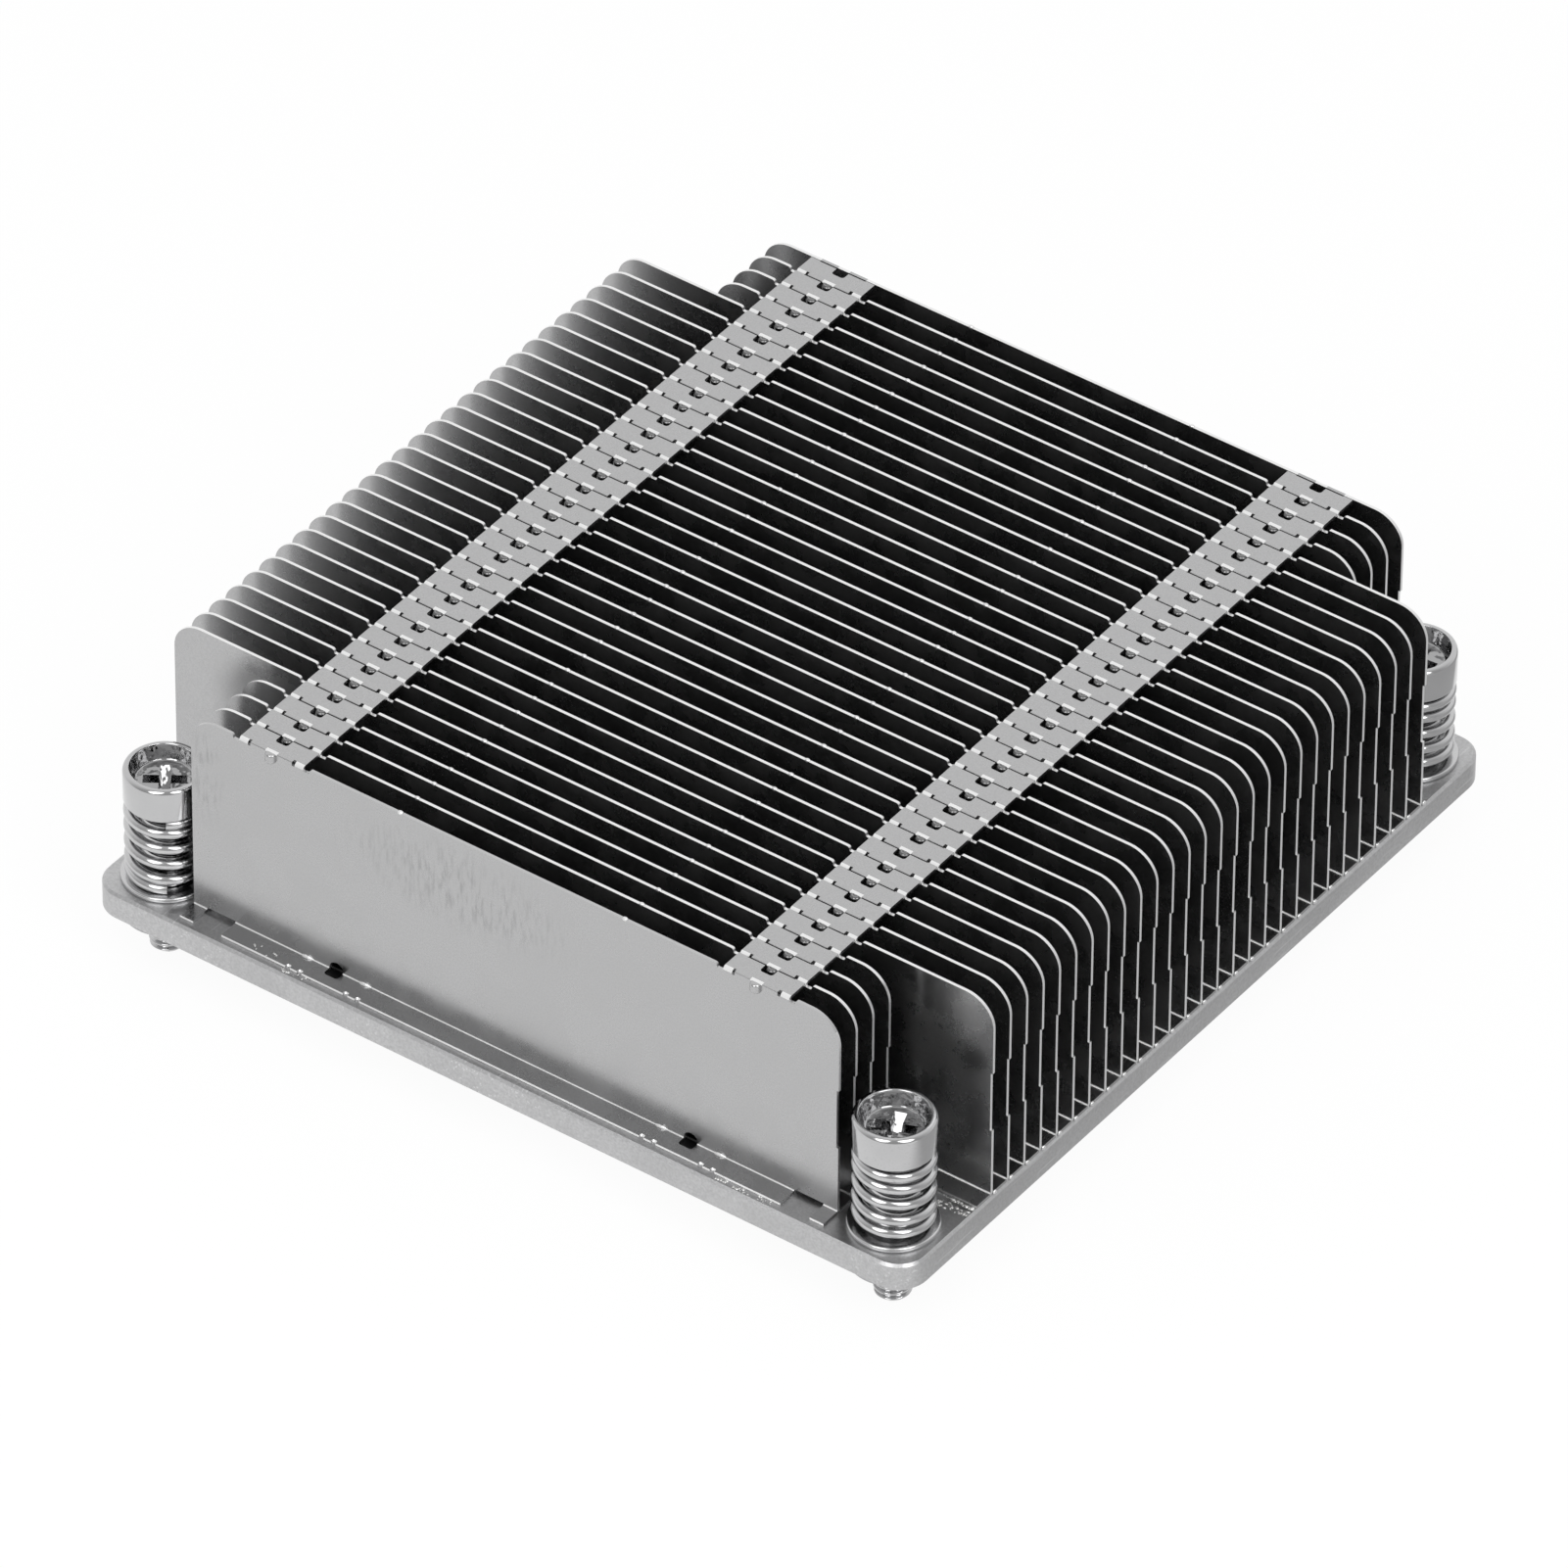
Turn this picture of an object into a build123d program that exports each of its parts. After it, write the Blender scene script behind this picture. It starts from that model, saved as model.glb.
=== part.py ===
from build123d import *
import os

# Passive server processor heatsink: a stack of folded sheet fins on a flat base plate,
# held down by four captive spring screws. Millimetres, +Z up, +Y towards the plain last fin.
# The origin is the centre of the base plate's underside.

# Base plate
base_width = 90.0
base_depth = 90.0
base_thickness = 3.0
base_corner_radius = 3.0
base_edge_chamfer = 0.25
screw_inset = 5.0
clip_seat_depth = 0.2
clip_seat_clearance = 0.3

# Fin stack: full fins between the screws, narrower ones beside them at both ends
fin_pitch = 2.46
fin_height = 22.0
full_fin_inset = 0.2
full_fin_screw_gap = 0.6
end_fin_screw_gap = 0.4
stack_front_margin = 2.9
stack_back_margin = 0.6
fin_corner_radius = 3.0
sheet_thickness = 0.3
sole_bend_radius = 0.15
seam_gap = 0.06

# Shallow recess that the shears leave in the right edge of every fin
shear_recess_depth = 0.2
shear_recess_bottom = 7.5
shear_recess_top = 14.0

# Top interlock: two rows of flanges, each notched for the dimple of the next fin.
# The fold is tight in the middle of a flange and rounder at its two ends.
lock_inset = 8.95
lock_flange_width = 7.1
lock_end_width = 1.1
lock_end_radius = 0.4
tight_fold_radius = 0.12
end_nick_width = 0.3
relief_width = 0.65
relief_depth = 0.45
relief_floor_radius = 0.15
relief_shoulder_radius = 0.28
notch_width = 1.35
notch_depth = 0.95
notch_corner_radius = 0.3
dimple_radius = 0.55
dimple_height = 1.0
dimple_top_radius = 0.27
dimple_foot_radius = 0.2

# Bottom flange: one long sole with a foot tab beyond a slot at each end
foot_width = 1.5
slot_width = 3.15
window_inset = 15.9
window_width = 1.5
window_depth = 0.95
window_corner_radius = 0.3
hood_reach = 0.5
hood_wall = 0.2
bead_offset = 3.2
bead_length = 1.7
bead_level = 0.4
bead_radius = 0.3
sole_edge_radius = 0.1

# Break-off tabs of the sole's free edge, each between two nicks, in line with the beads
edge_tab_width = 0.8
edge_nick_width = 0.5
edge_nick_depth = 0.35
edge_nick_radius = 0.15

# Captive spring screws
screw_top = 15.5
head_diameter = 7.6
head_height = 3.5
head_rim_radius = 0.35
cup_wall = 0.6
cup_taper = 0.5
cup_depth = 1.1
cross_span = 3.6
cross_arm_width = 0.9
cross_depth = 1.6
cross_tip_span = 1.4
cross_turns = (35.0, 20.0, 50.0, 5.0)
shoulder_diameter = 5.0
shoulder_below_base = 1.8
thread_diameter = 3.5
thread_length = 3.2
thread_chamfer = 0.5
screw_clearance = 0.1

# Flat washers that carry the springs
washer_overhang = 0.4
washer_thickness = 0.5
washer_bore_clearance = 0.15

# Retaining clips in the grooves of the screws
clip_diameter = 8.4
clip_thickness = 1.0
clip_groove_diameter = 4.0
clip_ring_bore = 6.2
clip_mouth_width = 3.6
clip_prong_width = 1.4
clip_prong_clearance = 0.05
clip_side_clearance = 0.04

# Springs
wire_diameter = 1.0
spring_bore_clearance = 0.3
closed_coil_gap = 0.06
active_turns = 3
spring_seat_gap = 0.02
wire_end_turns = (-52.0, 150.0, 60.0, 215.0)

# Sizes that follow
base_top = base_thickness
fin_top = base_top + fin_height
last_fin_front = base_depth / 2 - stack_back_margin - sheet_thickness
fin_count = 1 + int((last_fin_front + base_depth / 2 - stack_front_margin) / fin_pitch)
outer_bend_radius = sole_bend_radius + sheet_thickness
top_flange_reach = fin_pitch - seam_gap
bottom_flange_reach = fin_pitch - sheet_thickness - seam_gap
screw_spacing_x = base_width - 2 * screw_inset
screw_spacing_y = base_depth - 2 * screw_inset
spring_diameter = shoulder_diameter + 2 * (spring_bore_clearance + wire_diameter)
closed_coil_pitch = wire_diameter + closed_coil_gap
washer_diameter = spring_diameter + 2 * washer_overhang
full_fin_width = base_width - 2 * full_fin_inset
full_fin_limit = (screw_spacing_y - washer_diameter) / 2 - full_fin_screw_gap
end_fin_width = screw_spacing_x - washer_diameter - 2 * end_fin_screw_gap
lock_spacing = end_fin_width - 2 * lock_inset
window_spacing = end_fin_width - 2 * window_inset
sole_width = end_fin_width - 2 * (foot_width + slot_width)
foot_start = sole_width / 2 + slot_width
washer_top = base_top + washer_thickness
head_bottom = screw_top - head_height
clip_top = clip_seat_depth
clip_bottom = clip_top - clip_thickness
shoulder_end = -shoulder_below_base
screw_tip = shoulder_end - thread_length


def fin_front(number):
    """Y of the front face of a fin, counted from 1 at the front."""
    return last_fin_front - (fin_count - number) * fin_pitch


def beside_screws(number):
    """Whether a fin stands at the screws' depth, front or back, and so has to be narrow."""
    front = fin_front(number) - bottom_flange_reach
    back = fin_front(number) + sheet_thickness
    return front < -full_fin_limit or back > full_fin_limit


def span_box(x_from, x_to, y_from, y_to, z_from, z_to):
    """A box given by its limits."""
    corner = Pos(x_from, y_from, z_from)
    return corner * Box(x_to - x_from, y_to - y_from, z_to - z_from, align=(Align.MIN, Align.MIN, Align.MIN))


def along_x(face, x_from, x_to):
    """Carry a section in the YZ plane from one X to another."""
    return Pos(x_from, 0, 0) * extrude(Plane.YZ * face, x_to - x_from)


def fold(section, corner, radius):
    """Round one corner of a section."""
    nearest = section.vertices().sort_by_distance(corner)[0]
    return fillet(nearest, radius)


def top_section(outer_radius):
    """Section of a top flange, Y across and Z up, the fin's front face at Y 0."""
    low = fin_top - relief_depth
    under = fin_top - sheet_thickness
    points = [
        (0, low),
        (0, fin_top),
        (top_flange_reach, fin_top),
        (top_flange_reach, under),
        (sheet_thickness, under),
        (sheet_thickness, low),
    ]
    section = make_face(Polyline(*points, close=True))
    return fold(section, (0, fin_top), outer_radius)


def bottom_section():
    """Section of the sole, Y across and Z up, the fin's front face at Y 0."""
    high = base_top + outer_bend_radius
    upper = base_top + sheet_thickness
    points = [
        (0, high),
        (sheet_thickness, high),
        (sheet_thickness, base_top),
        (-bottom_flange_reach, base_top),
        (-bottom_flange_reach, upper),
        (0, upper),
    ]
    section = make_face(Polyline(*points, close=True))
    section = fold(section, (0, upper), sole_bend_radius)
    section = fold(section, (-bottom_flange_reach, base_top), sole_edge_radius)
    return fold(section, (sheet_thickness, base_top), outer_bend_radius)


def fin_plate(width, flanged):
    """The upright sheet of a fin, with its rounded top corners and edge recess."""
    low = base_top + outer_bend_radius
    outline = Pos(0, low) * Rectangle(width, fin_top - low, align=(Align.CENTER, Align.MIN))
    if flanged:
        gap = Rectangle(lock_flange_width + 2 * relief_width, 2 * relief_depth)
        gap = fillet(gap.vertices(), relief_floor_radius)
        for side in (-1, 1):
            outline -= Pos(side * lock_spacing / 2, fin_top) * gap
        outline = fillet(top_corners(outline)[1:-1], relief_shoulder_radius)
    outer_corners = [top_corners(outline)[0], top_corners(outline)[-1]]
    outline = fillet(outer_corners, fin_corner_radius)
    recess = Pos(width / 2, base_top + shear_recess_bottom) * Rectangle(
        2 * shear_recess_depth, shear_recess_top - shear_recess_bottom, align=(Align.CENTER, Align.MIN)
    )
    outline -= recess
    upright = Plane(origin=(0, 0, 0), x_dir=(1, 0, 0), z_dir=(0, -1, 0))
    return extrude(upright * outline, -sheet_thickness)


def top_corners(outline):
    """Corners of a fin's outline along its top edge, from left to right."""
    return outline.vertices().group_by(Axis.Y)[-1].sort_by(Axis.X)


def lock_flange(side):
    """One top flange with the notch in its free edge and the dimple on its fold."""
    centre = side * lock_spacing / 2
    half = lock_flange_width / 2
    inner_half = half - lock_end_width
    flange = along_x(top_section(tight_fold_radius), centre - inner_half, centre + inner_half)
    for end in (-1, 1):
        near, far = sorted((end * inner_half, end * half))
        flange += along_x(top_section(lock_end_radius), centre + near, centre + far)
        nick = Pos(centre + end * inner_half, 0, fin_top) * Box(
            end_nick_width, 2 * lock_end_radius, 2 * lock_end_radius
        )
        flange -= nick
    notch = Pos(centre, top_flange_reach) * Rectangle(notch_width, 2 * notch_depth)
    notch = fillet(notch.vertices(), notch_corner_radius)
    flange -= Pos(0, 0, fin_top - 2 * sheet_thickness) * extrude(notch, 3 * sheet_thickness)
    return flange + top_dimple(centre)


def top_dimple(centre):
    """Rounded bump that reaches forward into the notch of the fin before."""
    bump = Cylinder(dimple_radius, dimple_height, align=(Align.CENTER, Align.CENTER, Align.MIN))
    bump = fillet(bump.edges().group_by(Axis.Z)[-1], dimple_top_radius)
    bump = fillet(bump.edges().group_by(Axis.Z)[0], dimple_foot_radius)
    behind = span_box(-dimple_radius, dimple_radius, sheet_thickness, dimple_radius, 0, dimple_height)
    return Pos(centre, 0, fin_top - dimple_height) * (bump - behind)


def bottom_flange(width):
    """The folded sole and, beyond a slot at each end, its two foot tabs."""
    section = bottom_section()
    flange = along_x(section, -sole_width / 2, sole_width / 2)
    flange += along_x(section, foot_start, width / 2)
    flange += along_x(section, -width / 2, -foot_start)
    for side in (-1, 1):
        for step in (-1, 1):
            centre = side * window_spacing / 2 + step * bead_offset
            flange += crease_bead(centre)
            flange -= tab_nicks(centre)
    return flange


def crease_bead(centre):
    """Spindle-shaped swelling in the crease, where the fold was left rounder."""
    half = bead_length / 2
    floor = base_top + sheet_thickness
    level = bead_level / 2
    taper = [(-half, 0), (-level, bead_radius), (level, bead_radius), (half, 0)]
    spindle = Pos(centre, 0, floor) * revolve(make_face(Polyline(*taper, close=True)), Axis.X)
    bite = sheet_thickness / 3
    outside = span_box(centre - half, centre + half, -bead_radius, bite, floor - bite, floor + bead_radius)
    return spindle & outside


def tab_nicks(centre):
    """The two nicks that leave a break-off tab between them on the sole's free edge."""
    nick = Rectangle(edge_nick_width, 2 * edge_nick_depth)
    nick = fillet(nick.vertices(), edge_nick_radius)
    offset = (edge_tab_width + edge_nick_width) / 2
    pair = Pos(centre - offset, -bottom_flange_reach) * nick + Pos(centre + offset, -bottom_flange_reach) * nick
    return extrude(pair, base_top + 2 * sheet_thickness)


def lock_window(centre):
    """The lanced opening at the crease, arched where it runs up into the upright sheet."""
    half = window_width / 2
    low = base_top + outer_bend_radius
    crease = span_box(centre - half, centre + half, -window_depth, 2 * sheet_thickness, 0, low)
    crease = fillet(crease.edges().filter_by(Axis.Z).group_by(Axis.Y)[0], window_corner_radius)
    arch = Pos(centre, 0, low) * Rot(90, 0, 0) * Cylinder(half, 4 * sheet_thickness)
    return crease + arch


def lock_hood(centre):
    """The arched hood pressed out behind a window, over the sole of the next fin."""
    half = window_width / 2
    low = base_top + outer_bend_radius
    arch = Circle(half + hood_wall) - Circle(half)
    arch -= Pos(0, -window_width) * Rectangle(2 * window_width, 2 * window_width)
    back = Circle(half + hood_wall)
    back -= Pos(0, -window_width) * Rectangle(2 * window_width, 2 * window_width)
    facing = Plane(origin=(centre, 0, low), x_dir=(1, 0, 0), z_dir=(0, -1, 0))
    wall = extrude(facing * arch, -hood_reach - sheet_thickness)
    closure = Pos(0, sheet_thickness + hood_reach, 0) * extrude(facing * back, -hood_wall)
    return wall + closure


def fin(width, flanged=True):
    """One stamped and folded fin, its front face at Y 0."""
    body = fin_plate(width, flanged) + bottom_flange(width)
    for side in (-1, 1):
        centre = side * window_spacing / 2
        body -= lock_window(centre)
        if flanged:
            body += lock_flange(side) + lock_hood(centre)
    return body


def base_plate():
    """The flat plate that the fins are soldered to, drilled for the screws and spot-faced for their clips."""
    plate = Box(base_width, base_depth, base_thickness, align=(Align.CENTER, Align.CENTER, Align.MIN))
    plate = fillet(plate.edges().filter_by(Axis.Z), base_corner_radius)
    rims = plate.edges().group_by(Axis.Z)[-1] + plate.edges().group_by(Axis.Z)[0]
    plate = chamfer(rims, base_edge_chamfer)
    hole = Cylinder(shoulder_diameter / 2 + screw_clearance, 3 * base_thickness)
    seat = Cylinder(clip_diameter / 2 + clip_seat_clearance, 2 * clip_seat_depth)
    for corner in screw_corners():
        plate -= Pos(*corner) * (hole + seat)
    return plate


def screw_corners():
    """Centres of the four screws: front left, front right, back left, back right."""
    half_x = screw_spacing_x / 2
    half_y = screw_spacing_y / 2
    return [(-half_x, -half_y), (half_x, -half_y), (-half_x, half_y), (half_x, half_y)]


def screw_profile():
    """Half section of a screw, radius along X and height along Z."""
    head = head_diameter / 2
    shoulder = shoulder_diameter / 2
    groove = clip_groove_diameter / 2
    thread = thread_diameter / 2
    cup_mouth = head - cup_wall
    cup_floor = screw_top - cup_depth
    groove_top = clip_top + clip_side_clearance
    groove_low = clip_bottom - clip_side_clearance
    points = [
        (0, screw_tip),
        (thread - thread_chamfer, screw_tip),
        (thread, screw_tip + thread_chamfer),
        (thread, shoulder_end),
        (shoulder, shoulder_end),
        (shoulder, groove_low),
        (groove, groove_low),
        (groove, groove_top),
        (shoulder, groove_top),
        (shoulder, head_bottom),
        (head, head_bottom),
        (head, screw_top),
        (cup_mouth, screw_top),
        (cup_mouth - cup_taper, cup_floor),
        (0, cup_floor),
    ]
    outline = make_face(Polyline(*points, close=True))
    rim = [corner for corner in outline.vertices() if corner.X > head - head_rim_radius]
    return fillet(rim, head_rim_radius)


def cross_recess(turn):
    """Tapered cross that the driver enters, in the floor of the cup."""
    floor = screw_top - cup_depth
    arm = Rectangle(cross_span, cross_arm_width)
    tip = Rectangle(cross_tip_span, cross_arm_width / 2)
    wing = loft([Pos(0, 0, floor) * arm, Pos(0, 0, floor - cross_depth) * tip])
    return Rot(0, 0, turn) * (wing + Rot(0, 0, 90) * wing)


def spring_screw(corner, turn):
    """One captive screw: cup head, shoulder with a clip groove, threaded tip."""
    turned = revolve(Plane.XZ * screw_profile(), Axis.Z)
    return Pos(*corner) * (turned - cross_recess(turn))


def spring(corner, turn):
    """Compression spring with a closed coil at each end, wound left-handed."""
    mean = (spring_diameter - wire_diameter) / 2
    wire = wire_diameter / 2
    low = washer_top + spring_seat_gap + wire
    high = head_bottom - spring_seat_gap - wire
    rise = high - low - 2 * closed_coil_pitch
    section = Pos(mean, 0, 0) * (Plane.XZ * Circle(wire))
    closed = Helix(closed_coil_pitch, closed_coil_pitch, mean, lefthand=True)
    active = Helix(rise / active_turns, rise, mean, lefthand=True)
    end_coil = sweep(section, path=closed, is_frenet=True)
    middle = sweep(section, path=active, is_frenet=True)
    coils = Pos(0, 0, low) * end_coil
    coils += Pos(0, 0, low + closed_coil_pitch) * middle
    coils += Pos(0, 0, high - closed_coil_pitch) * end_coil
    return Pos(*corner) * Rot(0, 0, turn) * coils


def spring_washer(corner):
    """Flat washer between a spring and the base plate."""
    bore = shoulder_diameter / 2 + washer_bore_clearance
    ring = Circle(washer_diameter / 2) - Circle(bore)
    return Pos(*corner) * extrude(Pos(0, 0, base_top) * ring, washer_thickness)


def retaining_clip(corner):
    """Open ring snapped into the groove of a screw, its mouth towards the middle of the base."""
    ring = Circle(clip_diameter / 2) - Circle(clip_ring_bore / 2)
    grip = clip_groove_diameter / 2 + clip_prong_clearance
    prong = Pos(clip_ring_bore / 2, 0) * Rectangle(clip_ring_bore - 2 * grip, clip_prong_width)
    for turn in (90, 180, 270):
        ring += Rot(0, 0, turn) * prong
    ring -= Circle(grip)
    mouth = Pos(clip_diameter / 2, 0) * Rectangle(clip_diameter, clip_mouth_width)
    ring -= mouth
    inward = 45 if corner[0] < 0 else 135
    if corner[1] > 0:
        inward = -inward
    return Pos(*corner) * Rot(0, 0, inward) * extrude(Pos(0, 0, clip_bottom) * ring, clip_thickness)


def write(name, shape):
    """Save one piece under its node name."""
    export_step(shape, f"parts/{name}.step")


os.makedirs("parts", exist_ok=True)
write("base_plate", base_plate())
narrow_fin = fin(end_fin_width)
full_fin = fin(full_fin_width)
last_fin = fin(end_fin_width, flanged=False)
for number in range(1, fin_count + 1):
    pattern = narrow_fin if beside_screws(number) else full_fin
    if number == fin_count:
        pattern = last_fin
    write(f"fin_{number:02d}", Pos(0, fin_front(number), 0) * pattern)
corner_names = ("front_left", "front_right", "back_left", "back_right")
for name, corner, cross_turn, wire_turn in zip(corner_names, screw_corners(), cross_turns, wire_end_turns):
    write(f"screw_{name}", spring_screw(corner, cross_turn))
    write(f"spring_{name}", spring(corner, wire_turn))
    write(f"washer_{name}", spring_washer(corner))
    write(f"clip_{name}", retaining_clip(corner))
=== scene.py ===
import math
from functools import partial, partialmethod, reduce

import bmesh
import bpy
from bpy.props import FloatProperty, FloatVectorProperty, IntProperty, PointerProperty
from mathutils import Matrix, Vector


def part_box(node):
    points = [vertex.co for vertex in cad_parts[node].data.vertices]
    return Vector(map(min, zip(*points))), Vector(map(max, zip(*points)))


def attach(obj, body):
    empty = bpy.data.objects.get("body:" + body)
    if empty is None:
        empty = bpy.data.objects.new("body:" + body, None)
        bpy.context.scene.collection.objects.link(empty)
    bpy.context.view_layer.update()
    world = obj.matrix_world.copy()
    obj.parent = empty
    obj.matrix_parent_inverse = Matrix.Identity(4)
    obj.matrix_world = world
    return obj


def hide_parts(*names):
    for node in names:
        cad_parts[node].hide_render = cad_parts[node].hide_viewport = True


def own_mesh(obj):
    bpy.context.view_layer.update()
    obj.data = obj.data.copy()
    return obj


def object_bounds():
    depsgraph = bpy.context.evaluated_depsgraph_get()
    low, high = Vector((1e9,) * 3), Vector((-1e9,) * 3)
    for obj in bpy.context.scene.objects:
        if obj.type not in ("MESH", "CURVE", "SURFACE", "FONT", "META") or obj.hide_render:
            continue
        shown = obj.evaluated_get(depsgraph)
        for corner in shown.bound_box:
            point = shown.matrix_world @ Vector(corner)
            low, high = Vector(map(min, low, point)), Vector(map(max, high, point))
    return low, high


bl_info = {
    "name": "Passive Server Heatsink",
    "version": (1, 0, 0),
    "blender": (4, 5, 0),
    "location": "3D View > Sidebar > Heatsink",
    "description": "Dresses a folded fin heatsink: metals, screws, springs, solder and studio",
    "category": "Object",
}

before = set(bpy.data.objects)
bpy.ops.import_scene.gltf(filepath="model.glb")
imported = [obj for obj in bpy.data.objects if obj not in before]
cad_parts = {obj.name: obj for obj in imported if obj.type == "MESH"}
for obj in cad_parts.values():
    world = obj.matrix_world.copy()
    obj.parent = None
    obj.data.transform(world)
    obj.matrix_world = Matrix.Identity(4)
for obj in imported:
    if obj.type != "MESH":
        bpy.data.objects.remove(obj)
cad_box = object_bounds()

MM = 0.001
CORNERS = ("front_left", "front_right", "back_left", "back_right")
CROSS_TURNS = (35.0, 20.0, 50.0, 5.0)
COIL_STARTS = (-52.0, 150.0, 60.0, 215.0)
CRISP_ANGLE = math.radians(35)
WASHER_STEEL = (0.60, 0.60, 0.605)
CLIP_STEEL = (0.45, 0.45, 0.46)
FIN_NODES = sorted(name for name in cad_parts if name.startswith("fin_"))
SOCKETS = {
    float: "NodeSocketFloat",
    int: "NodeSocketInt",
    tuple: "NodeSocketVector",
    type(None): "NodeSocketMaterial",
    "ShaderNodeTree": "NodeSocketFloat",
    "GeometryNodeTree": "NodeSocketGeometry",
}


def length(name, description, millimetres):
    """A size in metres whose default is given in millimetres."""
    return FloatProperty(
        name=name, description=description, default=millimetres * MM, unit="LENGTH", precision=5
    )


def share(name, description, value):
    """A plain number from 0 to 1."""
    return FloatProperty(
        name=name, description=description, default=value, min=0.0, max=1.0, subtype="FACTOR"
    )


def degrees(name, description, value):
    """An angle in degrees."""
    return FloatProperty(name=name, description=description + ", in degrees", default=value)


def whole(name, description, value):
    """A whole number."""
    return IntProperty(name=name, description=description, default=value, min=0)


def tint(name, description, value):
    """A linear colour."""
    return FloatVectorProperty(
        name=name, description=description, default=value, size=3, min=0.0, max=1.0, subtype="COLOR"
    )


class HEATSINK_PG_sheet(bpy.types.PropertyGroup):
    colour: tint("Sheet", "Colour of the rolled aluminium sheet", (0.475, 0.475, 0.478))
    # Light colour of the sheared edges, also used as the painted highlight on the folds and bend tops
    edge_and_highlight_colour: tint("Sheared edge", "Colour of the bright sheared edges", (0.86, 0.86, 0.86))
    thickness: length("Thickness", "Thickness of the sheet", 0.3)
    roughness: share("Roughness", "Roughness of the clean sheet", 0.24)
    grain: length("Grain", "Size of the fine grain", 0.09)
    flange_offset: length("Flange offset", "Distance of a flange row from the middle", 26.45)
    flange_half: length("Flange half width", "Half the width of a flange", 3.54)
    fold_end: length("Fold end", "Length of the rounder fold at each end of a flange", 0.98)
    # A dimple's bright cap gets a painted highlight, and its front face painted shade with rings
    dimple_half: length("Dimple half width", "Half the width of a dimple's bright cap", 0.64)
    dimple_depth: length("Dimple depth", "How far a dimple reaches in front of its fin", 0.6)
    ring_pitch: length("Ring pitch", "Distance between the rings on a dimple", 0.24)
    fold_height: length("Fold height", "Height of the folded zone at the top edge", 1.2)
    # The seam is painted shade in the gap at a flange's free edge
    seam_shade_width: length("Seam", "Width of the dark joint at a flange's free edge", 0.16)
    window_offset: length("Window offset", "Distance of the sole's windows from the middle", 19.5)
    # The dark spot below a window is painted shade
    window_half: length("Window half width", "Half the width of the dark spot below a window", 0.9)
    # The dark hood mouths are painted shade
    hood_half: length("Hood half width", "Half the width of a hood's dark mouth", 0.74)
    hood_height: length("Hood height", "Height of a hood's dark mouth, and depth of the spot below it", 1.1)
    hood_depth: length("Hood depth", "How far a hood reaches behind its fin's front", 0.95)
    nib_offset: length("Nib offset", "Distance of the break-off nibs from the middle", 12.25)
    nib_radius: length("Nib radius", "Half the length of a break-off nib", 0.3)
    narrow_fins: whole("Narrow fins", "Narrow fins at each end of the stack", 4)
    foot_radius: length("Foot radius", "Radius of the solder bead at each full fin's foot", 0.2)


class HEATSINK_PG_base(bpy.types.PropertyGroup):
    colour: tint("Plate", "Colour of the base plate", (0.53, 0.53, 0.535))
    roughness: share("Roughness", "Roughness of the base plate", 0.33)
    grain: length("Grain", "Size of the plate's grain", 0.16)
    solder_colour: tint("Solder", "Colour of the solder specks", (0.72, 0.72, 0.71))
    speck_radius: length("Speck radius", "Radius of the largest solder specks", 0.16)


class HEATSINK_PG_screw(bpy.types.PropertyGroup):
    colour: tint("Plating", "Colour of the bright plating", (0.54, 0.54, 0.545))
    roughness: share("Roughness", "Roughness of the plating", 0.07)
    head_height: length("Head height", "Height of the cup head", 3.5)
    cup_depth: length("Cup depth", "Depth of the cup in the head", 1.5)
    cup_wall: length("Cup wall", "Wall of the cup at its mouth", 0.6)
    cup_taper: length("Cup taper", "How far the cup narrows to its floor", 0.5)
    cross_span: length("Cross span", "Tip to tip size of the cross recess", 3.8)
    cross_width: length("Cross width", "Width of an arm of the cross recess", 1.1)
    cross_depth: length("Cross depth", "Depth of the cross recess", 1.4)
    shoulder_radius: length("Shoulder radius", "Radius of the shoulder inside the spring", 2.5)
    groove_radius: length("Groove radius", "Radius of the groove that holds the clip", 2.0)
    shoulder_drop: length("Shoulder drop", "How far the shoulder reaches below the plate", 1.8)
    thread_radius: length("Thread radius", "Outer radius of the thread", 1.75)
    thread_depth: length("Thread depth", "Depth of the thread", 0.33)
    thread_pitch: length("Thread pitch", "Pitch of the thread", 0.6)


class HEATSINK_PG_spring(bpy.types.PropertyGroup):
    colour: tint("Wire", "Colour of the spring wire", (0.58, 0.58, 0.585))
    roughness: share("Roughness", "Roughness of the wire", 0.10)
    wire: length("Wire", "Diameter of the wire", 1.0)
    closed_pitch: length("Closed pitch", "Rise of the closed coil at each end", 1.06)
    active_turns: whole("Active turns", "Open turns between the closed ones", 3)


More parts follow.
